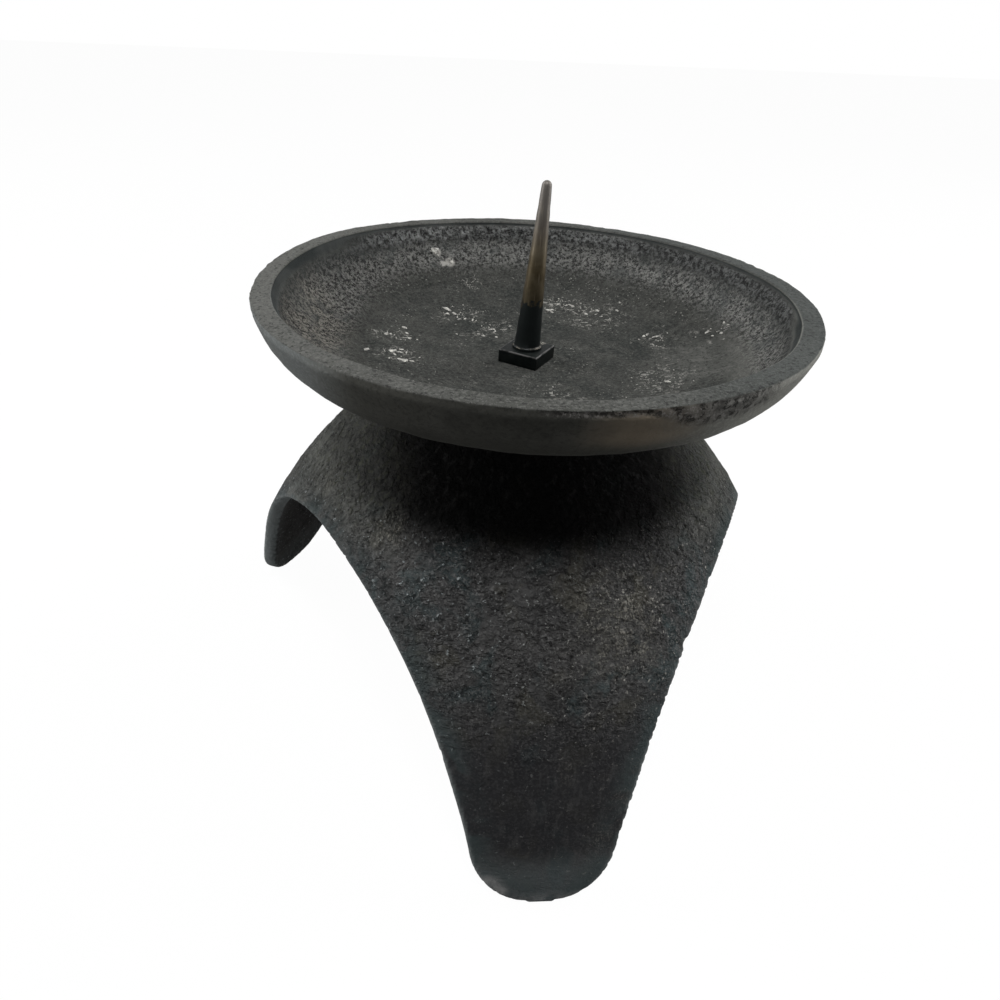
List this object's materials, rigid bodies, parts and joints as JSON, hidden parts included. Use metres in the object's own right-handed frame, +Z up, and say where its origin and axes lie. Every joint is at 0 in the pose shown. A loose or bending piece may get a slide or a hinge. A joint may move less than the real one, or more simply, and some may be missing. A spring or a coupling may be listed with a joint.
{
  "type": "pricket candle stand",
  "caption": "Cast-iron pricket candle stand: arched splayed-leg base, shallow drip dish, and a tapered brass spike on a square nut that bolts the two castings together.",
  "frame": {"origin": "on the stand's axis, on the plane that the three feet rest on", "axes": "+Z up along the spike; one leg points along -Y; +X to the right of that leg seen from the front"},
  "size_m": [0.1504, 0.1442, 0.1315],
  "materials": {
    "black_iron_base": "dark sand-cast iron, pitted, matt",
    "black_iron_dish": "dark sand-cast iron, worn along the rim, traces of wax",
    "spike_brass": "tarnished brass, black lacquer left at the foot",
    "nut_black": "black lacquer, half gloss",
    "fastener_steel": "dull plated steel"
  },
  "bodies": {
    "stand": {"tripod_base": "black_iron_base", "drip_dish": "black_iron_dish"},
    "spike": {"pricket_spike": "spike_brass", "square_nut": "nut_black"},
    "nut": {"clamp_nut": "fastener_steel", "flat_washer": "fastener_steel"}
  },
  "joints": [
    {"name": "spike_turn", "type": "hinge", "parent": "stand", "child": "spike", "pos_m": [0, 0, 0.0908], "axis": [0, 0, 1], "range_deg": [0, 2880]},
    {"name": "nut_travel", "type": "slide", "parent": "stand", "child": "nut", "axis": [0, 0, -1], "range_m": [0, 0.008]}
  ],
  "couplings": [
    {"joint": "nut_travel", "follows": "spike_turn", "m_per_rad": 0.00015915}
  ]
}
